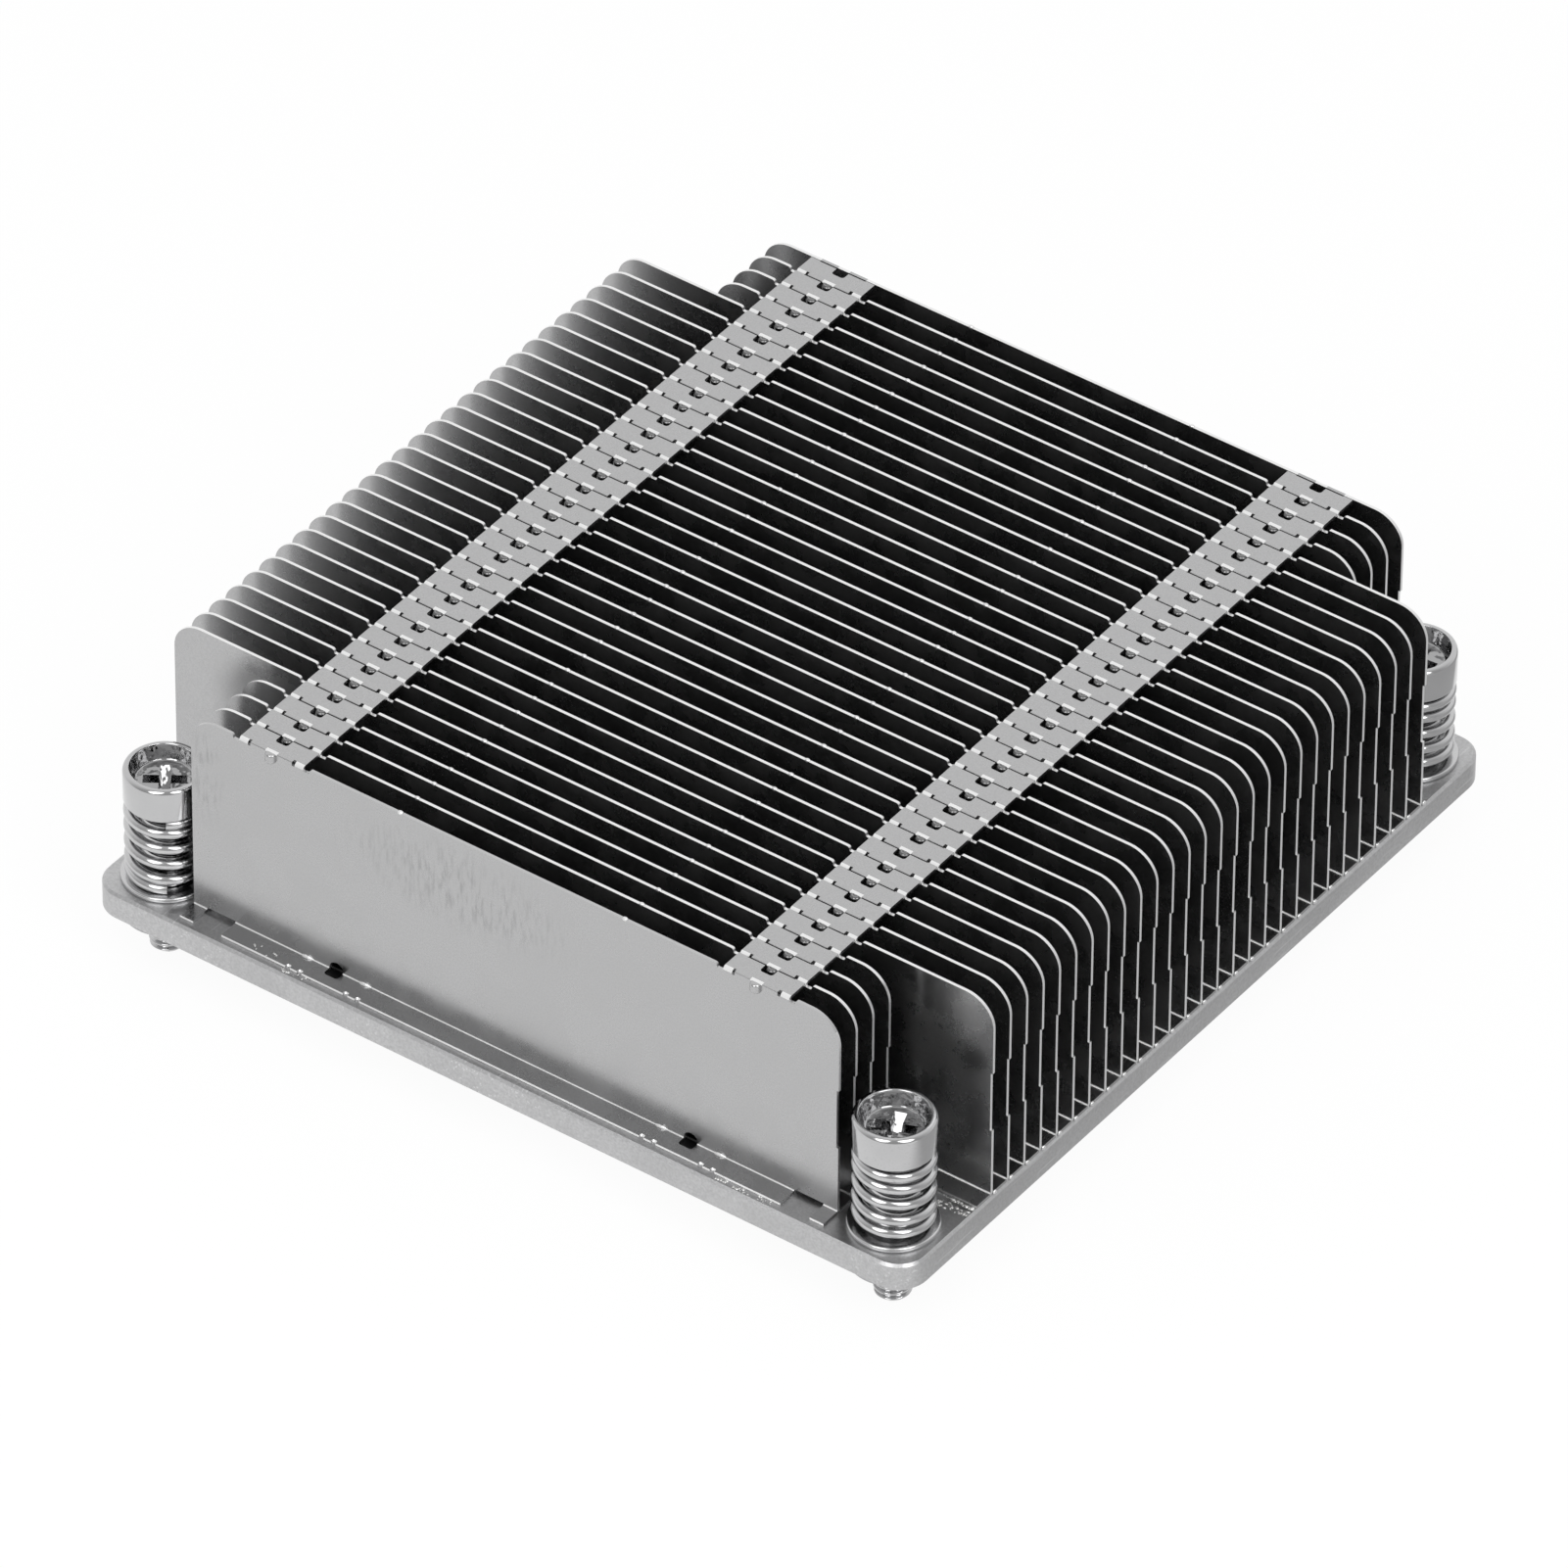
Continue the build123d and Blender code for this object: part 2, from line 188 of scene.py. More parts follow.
class HEATSINK_PG_stage(bpy.types.PropertyGroup):
    floor_colour: tint("Floor", "Colour of the floor and backdrop", (0.88, 0.88, 0.88))
    floor_size: length("Floor size", "Side of the square floor", 3000.0)
    floor_glow: share("Floor glow", "How white the camera and reflections see the floor", 0.93)
    # Painted shadow: reflections see the floor darker to the right of the object
    right_painted_shadow: share("Right side dimming", "How much darker metal sees the floor on the right", 0.50)
    lamp_power: FloatProperty(name="Lamp power", description="Power of a soft box", default=1.1, unit="POWER")
    lamp_width: length("Lamp width", "Width of each soft box", 290.0)
    lamp_height: length("Lamp height", "Height of each soft box", 560.0)
    lamp_distance: length("Lamp distance", "Distance of the soft boxes from the object", 600.0)
    lamp_spread: degrees("Lamp spread", "Angle from the view to each soft box", 32.0)
    lamp_elevation: degrees("Lamp elevation", "Angle of the soft boxes above the floor", 45.0)
    camera_azimuth: degrees("Azimuth", "Compass angle of the view", 35.756)
    camera_elevation: degrees("Elevation", "Angle of the view above the floor", 39.470)
    camera_roll: degrees("Roll", "Turn of the camera about its view", 0.434)
    camera_distance: length("Distance", "Distance of the camera from its target", 1552.2)
    camera_lens: FloatProperty(name="Lens", description="Focal length in millimetres", default=400.26)
    camera_target: FloatVectorProperty(
        name="Target", description="Point that the camera looks at", default=(0.003998, -0.006872, 0.013),
        size=3, unit="LENGTH", precision=5,
    )


class HEATSINK_PG_settings(bpy.types.PropertyGroup):
    sheet: PointerProperty(type=HEATSINK_PG_sheet)
    base: PointerProperty(type=HEATSINK_PG_base)
    screw: PointerProperty(type=HEATSINK_PG_screw)
    spring: PointerProperty(type=HEATSINK_PG_spring)
    stage: PointerProperty(type=HEATSINK_PG_stage)


class Graph:
    """Adds nodes to a tree. An input is a plain value, an output, or a node for its first output."""

    def __init__(self, tree):
        self.tree = tree

    def join(self, value, target):
        if isinstance(value, bpy.types.Node):
            value = value.outputs[0]
        if isinstance(value, bpy.types.NodeSocket):
            self.tree.links.new(value, target)
        else:
            target.default_value = value

    def node(self, kind, inputs=(), **settings):
        made = self.tree.nodes.new(kind)
        for name, value in settings.items():
            setattr(made, name, value)
        for key, value in dict(inputs).items():
            self.join(value, made.inputs[key])
        return made

    def math(self, operation, first, second=0.0):
        return self.node("ShaderNodeMath", {0: first, 1: second}, operation=operation)

    plus = partialmethod(math, "ADD")
    minus = partialmethod(math, "SUBTRACT")
    ratio = partialmethod(math, "DIVIDE")
    least = partialmethod(math, "MINIMUM")
    above = partialmethod(math, "GREATER_THAN")
    below = partialmethod(math, "LESS_THAN")
    size = partialmethod(math, "ABSOLUTE")
    fraction = partialmethod(math, "FRACT")

    def product(self, *factors):
        """All factors multiplied. Masks multiplied hold only where each of them holds."""
        return reduce(partial(self.math, "MULTIPLY"), factors)

    def most(self, *values):
        """The largest of some values."""
        return reduce(partial(self.math, "MAXIMUM"), values)

    def inverse(self, mask):
        return self.minus(1.0, mask)

    def apart(self, value, centre):
        """Distance between two values."""
        return self.size(self.minus(value, centre))

    def reach(self, vector):
        """Length of a vector."""
        return self.node("ShaderNodeVectorMath", {0: vector}, operation="LENGTH").outputs["Value"]

    def position(self):
        """The shaded point in the object's own frame."""
        return self.node("ShaderNodeTexCoord").outputs["Object"]

    def around(self, centre, angle, radius, height):
        """The point at an angle, a radius and a height about an upright line through the centre."""
        across = self.product(self.math("COSINE", angle), radius)
        inward = self.product(self.math("SINE", angle), radius)
        return self.vector("ADD", self.combine(across, inward, height), centre)

    def vector(self, operation, first, second=(0.0, 0.0, 0.0)):
        return self.node("ShaderNodeVectorMath", {0: first, 1: second}, operation=operation)

    def scale(self, vector, factor):
        return self.node("ShaderNodeVectorMath", {0: vector, "Scale": factor}, operation="SCALE")

    def combine(self, x, y, z):
        return self.node("ShaderNodeCombineXYZ", {"X": x, "Y": y, "Z": z})

    def separate(self, vector):
        return self.node("ShaderNodeSeparateXYZ", {0: vector}).outputs

    def remap(self, value, low, high, to_low=0.0, to_high=1.0):
        inputs = {"Value": value, "From Min": low, "From Max": high, "To Min": to_low, "To Max": to_high}
        return self.node("ShaderNodeMapRange", inputs, interpolation_type="SMOOTHSTEP")

    def mix(self, factor, first, second):
        return self.node("ShaderNodeMix", {0: factor, 6: first, 7: second}, data_type="RGBA").outputs[2]

    def noise(self, vector, scale, detail=2.0, roughness=0.5):
        inputs = {"Vector": vector, "Scale": scale, "Detail": detail, "Roughness": roughness}
        return self.node("ShaderNodeTexNoise", inputs)

    def random(self, low, high, seed):
        return self.node("FunctionNodeRandomValue", {2: low, 3: high, "Seed": seed}).outputs[1]


def opaque(colour):
    """A colour with its alpha."""
    return (*colour, 1.0)


def grey(value):
    """An even grey with its alpha."""
    return (value, value, value, 1.0)


def empty_graph(block):
    """The cleared node graph of a material or world."""
    block.use_nodes = True
    block.node_tree.nodes.clear()
    return Graph(block.node_tree)


def node_group(name):
    """The node group of that name. It is made and filled where it is first asked for."""
    if name in bpy.data.node_groups:
        return bpy.data.node_groups[name]
    kind, fill, inputs = GROUPS[name]
    tree = bpy.data.node_groups.new(name, kind)
    for socket_name, default in inputs.items():
        made = tree.interface.new_socket(socket_name, in_out="INPUT", socket_type=SOCKETS[type(default)])
        if default is not None:
            made.default_value = default
    graph = Graph(tree)
    filled = fill(graph, graph.node("NodeGroupInput").outputs)
    for socket_name in filled:
        tree.interface.new_socket(socket_name, in_out="OUTPUT", socket_type=SOCKETS[kind])
    graph.node("NodeGroupOutput", filled)
    return tree


def fill_grain(graph, entry):
    """Fine metal grain: a tone and a relief at grain size, and a soft blotch many grains wide."""
    place = graph.position()
    density = graph.ratio(1.0, entry["Grain Size"])
    fine = graph.scale(graph.vector("MULTIPLY", place, entry["Stretch"]), density)
    blotch = graph.noise(graph.scale(place, density), 0.02, 4.0, 0.6)
    return {
        "Tone": graph.remap(graph.noise(fine, 0.6, 3.0, 0.65), 0.25, 0.75),
        "Relief": graph.noise(fine, 1.0, 2.0, 0.5),
        "Blotch": graph.remap(blotch, 0.3, 0.7),
    }


def fill_scuffs(graph, entry):
    """Sparse thin scratches in two crossing directions, in patches."""
    place = graph.position()
    density = graph.ratio(1.0, entry["Line Width"])
    lines = []
    for turn in ((0.3, 0.9, 0.4), (-0.5, -0.7, 1.3)):
        turning = {"Vector": place, "Rotation": turn, "Scale": (1.0, 0.04, 1.0)}
        turned = graph.scale(graph.node("ShaderNodeMapping", turning), density)
        lines.append(graph.remap(graph.noise(turned, 0.25, 1.0, 0.4), 0.66, 0.74))
    patch = graph.remap(graph.noise(graph.scale(place, density), 0.006, 3.0, 0.6), 0.42, 0.62)
    return {"Mask": graph.product(graph.most(*lines), patch, entry["Amount"])}


def fill_smudge(graph, entry):
    """A soft rubbed patch of short slanting strokes round one place."""
    place = graph.position()
    offset = graph.vector("DIVIDE", graph.vector("SUBTRACT", place, entry["Centre"]), entry["Reach"])
    inside = graph.remap(graph.reach(offset), 1.0, 0.2)
    slant = {"Vector": place, "Rotation": (0.0, 0.6, 0.0), "Scale": (1.0, 1.0, 0.2)}
    strokes = graph.noise(graph.node("ShaderNodeMapping", slant), 2600.0, 2.0, 0.6)
    return {"Mask": graph.product(inside, graph.remap(strokes, 0.42, 0.72))}


def use_group(graph, name, inputs):
    """Place a shader group and return its outputs."""
    return graph.node("ShaderNodeGroup", inputs, node_tree=node_group(name)).outputs


def new_metal(name):
    """A material with a metallic Principled shader, its node graph and that shader."""
    made = bpy.data.materials.new(name)
    graph = empty_graph(made)
    shader = graph.node("ShaderNodeBsdfPrincipled", {"Metallic": 1.0})
    graph.node("ShaderNodeOutputMaterial", {"Surface": shader})
    return made, graph, shader


def add_relief(graph, shader, height, strength, distance, normal=None):
    """Feed a height into the shader's normal, on top of another normal if one is given."""
    inputs = {"Strength": strength, "Distance": distance, "Height": height}
    if normal is not None:
        inputs["Normal"] = normal
    graph.join(graph.node("ShaderNodeBump", inputs), shader.inputs["Normal"])


def plate_top():
    """Height of the base plate's top face."""
    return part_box("base_plate")[1][2]


def fin_pitch():
    """Distance between neighbouring fins."""
    first, second = (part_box(name)[0] for name in FIN_NODES[:2])
    return second[1] - first[1]


def last_fin_front(look):
    """Y of the front face of the last fin, which has no top flange."""
    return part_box(FIN_NODES[-1])[1][1] - look.thickness


def first_fin_front(look):
    """Y of the front face of the first fin."""
    return last_fin_front(look) - (len(FIN_NODES) - 1) * fin_pitch()


def fin_turns(graph, place, look):
    """The number of the fin that stands at or before a point, and the share of the pitch since then."""
    from_last = graph.minus(place[1], last_fin_front(look))
    return graph.plus(graph.ratio(from_last, fin_pitch()), float(len(FIN_NODES)))


def fin_marks(graph, look):
    """Masks on the fins: bright edges with painted highlights on the folds and bend tops, how far their
    normals lean up or out, painted shade in the joints at the flange edges and in the hood mouths, and the
    dimple fronts that get painted shade.
    """
    place = graph.separate(graph.position())
    normal = graph.separate(graph.node("ShaderNodeTexCoord").outputs["Normal"])
    turns = fin_turns(graph, place, look)
    behind = graph.product(graph.fraction(turns), fin_pitch())
    past_first = graph.above(turns, 1.0)
    rising = graph.above(normal[2], 0.2)

    near_top = graph.above(place[2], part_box(FIN_NODES[0])[1][2] - look.fold_height)
    beside = graph.apart(graph.size(place[0]), look.flange_offset)
    flange = graph.product(near_top, graph.below(beside, look.flange_half))
    dimple = graph.below(beside, look.dimple_half)
    special = graph.most(graph.above(beside, look.flange_half - look.fold_end), dimple)
    # Painted highlight on the bend tops at the flange ends and on the dimple caps
    bend_highlight = graph.product(flange, special, rising, graph.below(behind, 1.25 * look.thickness))

    within = graph.below(behind, look.thickness)
    first_top = graph.product(graph.below(turns, 1.5), graph.above(normal[2], 0.5))
    cut = graph.product(graph.below(graph.size(normal[1]), 0.5), within, graph.inverse(flange))
    cut = graph.product(cut, graph.inverse(graph.product(first_top, 0.85)))

    above_plate = graph.minus(place[2], plate_top())
    sole = graph.product(graph.below(above_plate, 0.97 * look.thickness), graph.below(normal[1], -0.5))
    low = graph.below(above_plate, 3.0 * look.thickness)
    # Painted highlight along the fold into the sole
    fold = graph.product(graph.below(normal[1], -0.3), rising, low)
    outward = graph.product(graph.math("SIGN", place[0]), graph.above(turns, 1.5), fold, 1.2)
    lean = graph.combine(outward, 0.0, graph.product(graph.most(bend_highlight, sole), 1.3))

    # Painted shade in the gap at each flange's free edge
    seam_shade = graph.above(behind, fin_pitch() - look.seam_shade_width)
    seam_shade = graph.product(seam_shade, flange, graph.inverse(special))
    # Painted shade in the hood mouths
    hood = graph.below(graph.apart(graph.size(place[0]), look.window_offset), look.hood_half)
    hood = graph.product(hood, graph.below(above_plate, look.hood_height), past_first)
    hood = graph.product(hood, graph.above(behind, 0.05 * MM), graph.below(behind, look.hood_depth))
    # Dimple fronts that get painted shade
    shaded_dimple = graph.product(graph.above(behind, fin_pitch() - look.dimple_depth), near_top, dimple, past_first)
    return graph.most(cut, bend_highlight, sole, fold), lean, graph.most(seam_shade, hood), shaded_dimple


def fin_material(look):
    """Rolled sheet: fine grain, soft blotches, scuffs, rubbed patches on the first fin, bright cut edges,
    painted highlights on the folds and bend tops, and painted shade in the joints, the hood mouths and on the
    dimple fronts.
    """
    made, graph, shader = new_metal("fin_sheet")
    grain = use_group(graph, "Metal Grain", {"Grain Size": look.grain, "Stretch": (1.0, 1.0, 0.8)})
    scuffs = use_group(graph, "Fine Scuffs", {"Line Width": 0.6 * look.grain, "Amount": 0.5})["Mask"]
    low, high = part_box(FIN_NODES[0])
    patches = []
    for from_left, down, reach in ((29.5, 5.5, (16.0, 1.0, 6.0)), (1.5, 6.0, (2.6, 1.0, 7.0))):
        centre = (low[0] + from_left * MM, first_fin_front(look), high[2] - down * MM)
        inputs = {"Centre": centre, "Reach": Vector(reach) * MM}
        patches.append(use_group(graph, "Rubbed Patch", inputs)["Mask"])
    rubbed = graph.most(*patches)
    colour = Vector(look.colour)
    clean = graph.mix(grain["Tone"], opaque(colour * 0.93), opaque(colour * 1.05))
    wear_and_painted_light = graph.mix(graph.product(rubbed, 0.55), clean, opaque(colour * 0.62))
    edge, lean, dark, shaded_dimple = fin_marks(graph, look)
    # Painted shade with painted rings on the dimple fronts
    dimple_shading = graph.mix(painted_dimple_rings(graph, look), opaque(colour * 0.3), opaque(colour * 0.62))
    wear_and_painted_light = graph.mix(shaded_dimple, wear_and_painted_light, dimple_shading)
    # Sheared edges are lighter; on the folds and bend tops this light colour is a painted highlight
    wear_and_painted_light = graph.mix(edge, wear_and_painted_light, opaque(look.edge_and_highlight_colour))
    # Painted shade: near black in the joints at the flange edges and in the hood mouths
    graph.join(graph.mix(dark, wear_and_painted_light, opaque(colour * 0.05)), shader.inputs["Base Color"])
    rough = graph.remap(grain["Blotch"], 0.0, 1.0, look.roughness, look.roughness + 0.07)
    rough = graph.plus(rough, graph.product(scuffs, 0.2))
    rough = graph.plus(rough, graph.product(edge, 0.1))
    graph.join(rough, shader.inputs["Roughness"])
    normal = graph.node("ShaderNodeNewGeometry").outputs["Normal"]
    normal = graph.vector("ADD", normal, lean)
    add_relief(graph, shader, grain["Relief"], 0.12, 0.02 * MM, graph.vector("NORMALIZE", normal))
    return made


def painted_dimple_rings(graph, look):
    """Painted shading rings round the middle of every dimple."""
    place = graph.separate(graph.position())
    beside = graph.minus(graph.size(place[0]), look.flange_offset)
    ahead = graph.product(graph.inverse(graph.fraction(fin_turns(graph, place, look))), fin_pitch())
    distance = graph.reach(graph.combine(beside, ahead, 0.0))
    wave = graph.math("SINE", graph.product(distance, 2.0 * math.pi / look.ring_pitch))
    return graph.remap(wave, -0.6, 0.8)


def base_material(look):
    """Cut and tumbled plate: coarser grain, cloudy patches, light scuffs, and painted shade on the top below
    the first sole's windows.
    """
    made, graph, shader = new_metal("base_plate_metal")
    grain = use_group(graph, "Metal Grain", {"Grain Size": look.grain})
    scuffs = use_group(graph, "Fine Scuffs", {"Line Width": 0.5 * look.grain, "Amount": 0.8})["Mask"]
    colour = Vector(look.colour)
    clean = graph.mix(grain["Tone"], opaque(colour * 0.86), opaque(colour * 1.10))
    cloudy = graph.mix(graph.product(grain["Blotch"], 0.3), clean, opaque(colour * 0.8))
    scuffed = graph.mix(scuffs, cloudy, opaque(colour * 1.3))
    # Painted shade: near black on the plate's top below the windows
    graph.join(graph.mix(window_shade_mask(graph), scuffed, opaque(colour * 0.08)), shader.inputs["Base Color"])
    rough = graph.remap(grain["Blotch"], 0.0, 1.0, look.roughness, look.roughness + 0.1)
    graph.join(rough, shader.inputs["Roughness"])
    add_relief(graph, shader, grain["Relief"], 0.25, 0.03 * MM)
    return made


def cup_mask(graph, look):
    """1 inside the cups and driver recesses of the four screw heads, where painted shade and dents go."""
    corner = node_axis("screw_back_right")
    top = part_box("screw_back_right")[1]
    mouth = top[0] - corner.x - look.cup_wall
    place = graph.separate(graph.position())
    across = graph.minus(graph.size(place[0]), corner.x)
    along = graph.minus(graph.size(place[1]), corner.y)
    distance = graph.reach(graph.combine(across, along, 0.0))
    floor = top[2] - look.cup_depth - look.cross_depth - 0.1 * MM
    return graph.product(graph.below(distance, mouth - 0.06 * MM), graph.above(place[2], floor))


def window_shade_mask(graph):
    """1 on the plate's top below the windows of the first sole, where painted shade goes."""
    look = bpy.context.scene.heatsink.sheet
    place = graph.separate(graph.position())
    beside = graph.below(graph.apart(graph.size(place[0]), look.window_offset), look.window_half)
    along = graph.below(graph.apart(place[1], first_fin_front(look)), look.hood_height)
    on_top = graph.above(place[2], plate_top() - 0.1 * MM)
    return graph.product(beside, along, on_top)


def bright_material(name, colour, roughness, grain_size, unevenness, cup_look=None):
    """Bright metal with a faint unevenness, for plating, wire, washers, clips and solder. Given cup_look, it
    also has painted shade and dents inside the screw cups.
    """
    made, graph, shader = new_metal(name)
    grain = use_group(graph, "Metal Grain", {"Grain Size": grain_size})
    scuffs = use_group(graph, "Fine Scuffs", {"Line Width": 0.4 * grain_size, "Amount": 0.4})["Mask"]
    tone = Vector(colour)
    wear_and_painted_light = graph.mix(grain["Blotch"], opaque(tone * 0.94), opaque(tone))
    wear_and_painted_light = graph.mix(scuffs, wear_and_painted_light, opaque(tone * 0.7))
    relief = grain["Relief"]
    if cup_look is not None:
        inside = cup_mask(graph, cup_look)
        # Painted shade inside the screw cups
        wear_and_painted_light = graph.mix(graph.product(inside, 0.3), wear_and_painted_light, opaque(tone * 0.1))
        dents = graph.product(graph.noise(graph.position(), 1300.0, 1.0, 0.4), 170.0, inside)
        relief = graph.plus(relief, dents)
    graph.join(wear_and_painted_light, shader.inputs["Base Color"])
    rough = graph.remap(grain["Tone"], 0.0, 1.0, roughness, roughness * 1.5)
    graph.join(graph.plus(rough, graph.product(scuffs, 0.15)), shader.inputs["Roughness"])
    add_relief(graph, shader, relief, unevenness, 0.02 * MM)
    return made


def dress(node, material):
    """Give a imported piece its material."""
    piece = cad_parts[node]
    if not piece.material_slots:
        piece.data.materials.append(material)
    for slot in piece.material_slots:
        slot.material = material


def new_piece(name, mesh, material=None):
    """An object for a finished mesh whose place is in its vertices."""
    piece = bpy.data.objects.new(name, mesh)
    bpy.context.scene.collection.objects.link(piece)
    if material is not None:
        mesh.materials.clear()
        mesh.materials.append(material)
    return piece


def apply_modifiers(piece):
    """Give a piece the plain mesh that its modifiers make."""
    evaluated = piece.evaluated_get(bpy.context.evaluated_depsgraph_get())
    mesh = bpy.data.meshes.new_from_object(evaluated)
    piece.modifiers.clear()
    piece.data = mesh


def grow(name, group, values):
    """Run a geometry group by itself and keep its result as a plain mesh."""
    piece = new_piece(name, bpy.data.meshes.new(name))
    modifier = piece.modifiers.new("grow", "NODES")
    modifier.node_group = node_group(group)
    for socket in modifier.node_group.interface.items_tree:
        if socket.in_out == "INPUT" and socket.name in values:
            modifier[socket.identifier] = values[socket.name]
    apply_modifiers(piece)
    piece.data.name = name
    return piece


def finished(graph, geometry, material):
    """The output of a geometry group: smooth real geometry in one material."""
    smooth = graph.node("GeometryNodeSetShadeSmooth", {"Geometry": geometry})
    real = graph.node("GeometryNodeRealizeInstances", {"Geometry": smooth})
    return {"Geometry": graph.node("GeometryNodeSetMaterial", {"Geometry": real, "Material": material})}


def fill_spring(graph, entry):
    """A wire coil with a closed turn at each end, its axis upright through Centre."""
    steps = 320
    line = graph.node("GeometryNodeCurvePrimitiveLine")
    path = graph.node("GeometryNodeResampleCurve", {"Curve": line, "Count": steps})
    along = graph.ratio(graph.node("GeometryNodeInputIndex"), float(steps - 1))
    turns = graph.plus(entry["Active Turns"], 2.0)
    turn = graph.product(along, turns)
    first = graph.least(turn, 1.0)
    last = graph.most(graph.minus(turn, graph.minus(turns, 1.0)), 0.0)
    middle = graph.minus(graph.minus(turn, first), last)
    closed_rise = graph.product(entry["Closed Pitch"], 2.0)
    span = graph.minus(graph.minus(entry["Top"], entry["Bottom"]), closed_rise)
    pitch = graph.ratio(span, entry["Active Turns"])
    closed = graph.product(graph.plus(first, last), entry["Closed Pitch"])
    rise = graph.plus(closed, graph.product(middle, pitch))
    angle = graph.product(graph.minus(entry["Start Turn"], turn), 2.0 * math.pi)
    height = graph.plus(rise, entry["Bottom"])
    place = graph.around(entry["Centre"], angle, entry["Coil Radius"], height)
    bent = graph.node("GeometryNodeSetPosition", {"Geometry": path, "Position": place})
    round_wire = {"Resolution": 20, "Radius": entry["Wire Radius"]}
    section = graph.node("GeometryNodeCurvePrimitiveCircle", round_wire)
    wire = graph.node("GeometryNodeCurveToMesh", {"Curve": bent, "Profile Curve": section, "Fill Caps": True})
    return finished(graph, wire, entry["Material"])


def fill_thread(graph, entry):
    """A closed threaded rod end: a sheet wrapped round the axis with one ridge that climbs it."""
    around, rows = 49, 66
    sheet = {"Size X": 1.0, "Size Y": 1.0, "Vertices X": around, "Vertices Y": rows}
    flat = graph.separate(graph.node("GeometryNodeInputPosition"))
    turn = graph.plus(flat[0], 0.5)
    row = graph.product(graph.plus(flat[1], 0.5), float(rows - 1))
    level = graph.ratio(graph.minus(row, 1.0), float(rows - 3))
    level = graph.node("ShaderNodeClamp", {"Value": level})
    height = graph.product(level, graph.minus(entry["Top"], entry["Tip"]))
    phase = graph.fraction(graph.minus(graph.ratio(height, entry["Pitch"]), turn))
    slope = graph.apart(graph.product(phase, 2.0), 1.0)
    crest = graph.least(graph.product(slope, 1.25), 1.0)
    root = graph.minus(entry["Outer Radius"], entry["Depth"])
    ridge = graph.plus(root, graph.product(crest, entry["Depth"]))
    cone = graph.plus(height, graph.minus(entry["Outer Radius"], entry["Lead In"]))
    open_rows = graph.product(graph.above(row, 0.5), graph.below(row, rows - 1.5))
    radius = graph.product(graph.least(ridge, cone), open_rows)
    angle = graph.product(turn, 2.0 * math.pi)
    place = graph.around(entry["Centre"], angle, radius, graph.plus(height, entry["Tip"]))
    grid = graph.node("GeometryNodeMeshGrid", sheet)
    wrapped = graph.node("GeometryNodeSetPosition", {"Geometry": grid, "Position": place})
    merged = graph.node("GeometryNodeMergeByDistance", {"Geometry": wrapped, "Distance": 1e-6})
    return finished(graph, merged, entry["Material"])


def fill_nibs(graph, entry):
    """Small rounded nibs in two rows, one on each fin's top edge."""
    nib = graph.node("GeometryNodeMeshIcoSphere", {"Radius": entry["Radius"], "Subdivisions": 3})
    rows = graph.node("GeometryNodeJoinGeometry")
    for side in (-1.0, 1.0):
        shift = graph.combine(graph.product(entry["Offset"], side), 0.0, 0.0)
        start = graph.vector("ADD", entry["Start"], shift)
        spaced = {"Count": entry["Count"], "Start Location": start, "Offset": entry["Step"]}
        line = graph.node("GeometryNodeMeshLine", spaced)
        row = {"Points": line, "Instance": nib, "Scale": entry["Flatness"]}
        graph.join(graph.node("GeometryNodeInstanceOnPoints", row), rows.inputs[0])
    return finished(graph, rows, entry["Material"])


def fill_specks(graph, entry):
    """Solder specks scattered with a fixed seed over a flat patch."""
    sheet = {"Size X": entry["Width"], "Size Y": entry["Depth"], "Vertices X": 2, "Vertices Y": 2}
    grid = graph.node("GeometryNodeMeshGrid", sheet)
    patch = graph.node("GeometryNodeTransform", {"Geometry": grid, "Translation": entry["Centre"]})
    scatter = {"Mesh": patch, "Density": entry["Density"], "Seed": entry["Seed"]}
    points = graph.node("GeometryNodeDistributePointsOnFaces", scatter)
    drop = graph.node("GeometryNodeMeshIcoSphere", {"Radius": entry["Radius"], "Subdivisions": 2})
    size = graph.random(0.25, 1.0, entry["Seed"])
    stretch = graph.random(0.8, 1.9, entry["Seed"])
    turn = graph.combine(0.0, 0.0, graph.random(0.0, math.pi, entry["Seed"]))
    shape = graph.scale(graph.combine(stretch, 1.0, 0.6), size)
    on_points = {"Points": points, "Instance": drop, "Scale": shape, "Rotation": turn}
    return finished(graph, graph.node("GeometryNodeInstanceOnPoints", on_points), entry["Material"])


